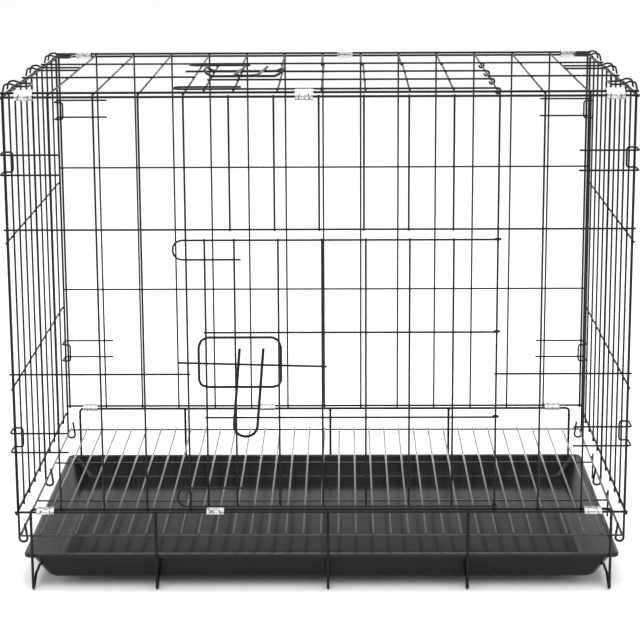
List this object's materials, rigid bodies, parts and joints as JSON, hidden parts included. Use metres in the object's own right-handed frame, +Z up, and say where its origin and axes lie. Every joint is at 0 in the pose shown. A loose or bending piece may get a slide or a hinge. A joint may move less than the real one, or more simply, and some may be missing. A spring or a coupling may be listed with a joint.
{
  "type": "wire dog crate",
  "caption": "Folding wire pet crate with hinged front and top doors, sliding bolts, a raised wire floor and a slide-out black tray.",
  "frame": {"origin": "on the ground, under the middle of the whole crate", "axes": "+X along the width, towards the doors' hinged side; -Y out of the front door; +Z up"},
  "size_m": [0.619, 0.4156, 0.5061],
  "materials": {
    "black_epoxy_steel": "black epoxy coating, satin",
    "floor_wire_epoxy": "black epoxy coating, semi-gloss",
    "tray_black_plastic": "semi-gloss moulded plastic",
    "zinc_plated_clip": "bright zinc plate"
  },
  "bodies": {
    "crate_frame": {"base_front_bar": "black_epoxy_steel", "base_back_bar": "black_epoxy_steel", "base_support_1": "black_epoxy_steel", "base_support_2": "black_epoxy_steel", "base_support_3": "black_epoxy_steel", "base_support_4": "black_epoxy_steel", "base_support_5": "black_epoxy_steel", "floor_grid": "floor_wire_epoxy", "front_tray_stop": "black_epoxy_steel", "back_tray_stop": "black_epoxy_steel", "back_panel": "black_epoxy_steel", "front_panel_left_grid": "black_epoxy_steel", "front_panel_right_grid": "black_epoxy_steel", "front_panel_head_grid": "black_epoxy_steel", "front_panel_sill_wire": "black_epoxy_steel", "top_panel_left_grid": "black_epoxy_steel", "top_panel_right_grid": "black_epoxy_steel", "top_panel_back_grid": "black_epoxy_steel", "top_panel_front_wire": "black_epoxy_steel", "front_left_upper_hook": "black_epoxy_steel", "front_left_lower_hook": "black_epoxy_steel", "front_right_upper_hook": "black_epoxy_steel", "front_right_lower_hook": "black_epoxy_steel", "back_left_upper_hook": "black_epoxy_steel", "back_left_lower_hook": "black_epoxy_steel", "back_right_upper_hook": "black_epoxy_steel", "back_right_lower_hook": "black_epoxy_steel", "left_front_top_hook": "black_epoxy_steel", "left_middle_top_hook": "black_epoxy_steel", "left_back_top_hook": "black_epoxy_steel", "right_front_top_hook": "black_epoxy_steel", "right_middle_top_hook": "black_epoxy_steel", "right_back_top_hook": "black_epoxy_steel", "front_top_clip_1": "zinc_plated_clip", "front_top_clip_2": "zinc_plated_clip", "front_top_clip_3": "zinc_plated_clip", "back_top_clip_1": "zinc_plated_clip", "back_top_clip_2": "zinc_plated_clip", "back_top_clip_3": "zinc_plated_clip", "front_base_clip_1": "zinc_plated_clip", "front_base_clip_2": "zinc_plated_clip", "front_base_clip_3": "zinc_plated_clip", "back_base_clip_1": "zinc_plated_clip", "back_base_clip_2": "zinc_plated_clip", "back_base_clip_3": "zinc_plated_clip"},
    "tray": {"tray": "tray_black_plastic"},
    "left_side": {"left_side_panel": "black_epoxy_steel"},
    "right_side": {"right_side_panel": "black_epoxy_steel"},
    "front_door": {"front_door": "black_epoxy_steel", "front_latch_guide": "black_epoxy_steel"},
    "front_bolt": {"front_bolt": "black_epoxy_steel"},
    "front_handle": {"front_handle": "black_epoxy_steel"},
    "top_door": {"top_door": "black_epoxy_steel", "top_latch_guide": "black_epoxy_steel"},
    "top_bolt": {"top_bolt": "black_epoxy_steel"},
    "top_handle": {"top_handle": "black_epoxy_steel"}
  },
  "joints": [
    {"name": "tray_slide", "type": "slide", "parent": "crate_frame", "child": "tray", "axis": [-1, 0, 0], "range_m": [0, 0.56]},
    {"name": "left_side_fold", "type": "hinge", "parent": "crate_frame", "child": "left_side", "pos_m": [-0.2985, 0, 0.0581], "axis": [0, 1, 0], "range_deg": [0, 90]},
    {"name": "right_side_fold", "type": "hinge", "parent": "crate_frame", "child": "right_side", "pos_m": [0.2985, 0, 0.0581], "axis": [0, -1, 0], "range_deg": [0, 87.5]},
    {"name": "front_door_hinge", "type": "hinge", "parent": "crate_frame", "child": "front_door", "pos_m": [0.17143, -0.19721, 0.2227], "axis": [0, 0, 1], "range_deg": [0, 165]},
    {"name": "front_bolt_slide", "type": "slide", "parent": "front_door", "child": "front_bolt", "axis": [1, 0, 0], "range_m": [0, 0.012]},
    {"name": "front_handle_turn", "type": "hinge", "parent": "front_bolt", "child": "front_handle", "pos_m": [-0.06747, -0.20321, 0.23415], "axis": [-1, 0, 0], "range_deg": [0, 150]},
    {"name": "top_door_hinge", "type": "hinge", "parent": "crate_frame", "child": "top_door", "pos_m": [0.17143, -0.04821, 0.4955], "axis": [0, 1, 0], "range_deg": [0, 165]},
    {"name": "top_bolt_slide", "type": "slide", "parent": "top_door", "child": "top_bolt", "axis": [1, 0, 0], "range_m": [0, 0.012]},
    {"name": "top_handle_turn", "type": "hinge", "parent": "top_bolt", "child": "top_handle", "pos_m": [-0.06747, -0.03991, 0.5015], "axis": [-1, 0, 0], "range_deg": [0, 150]}
  ]
}
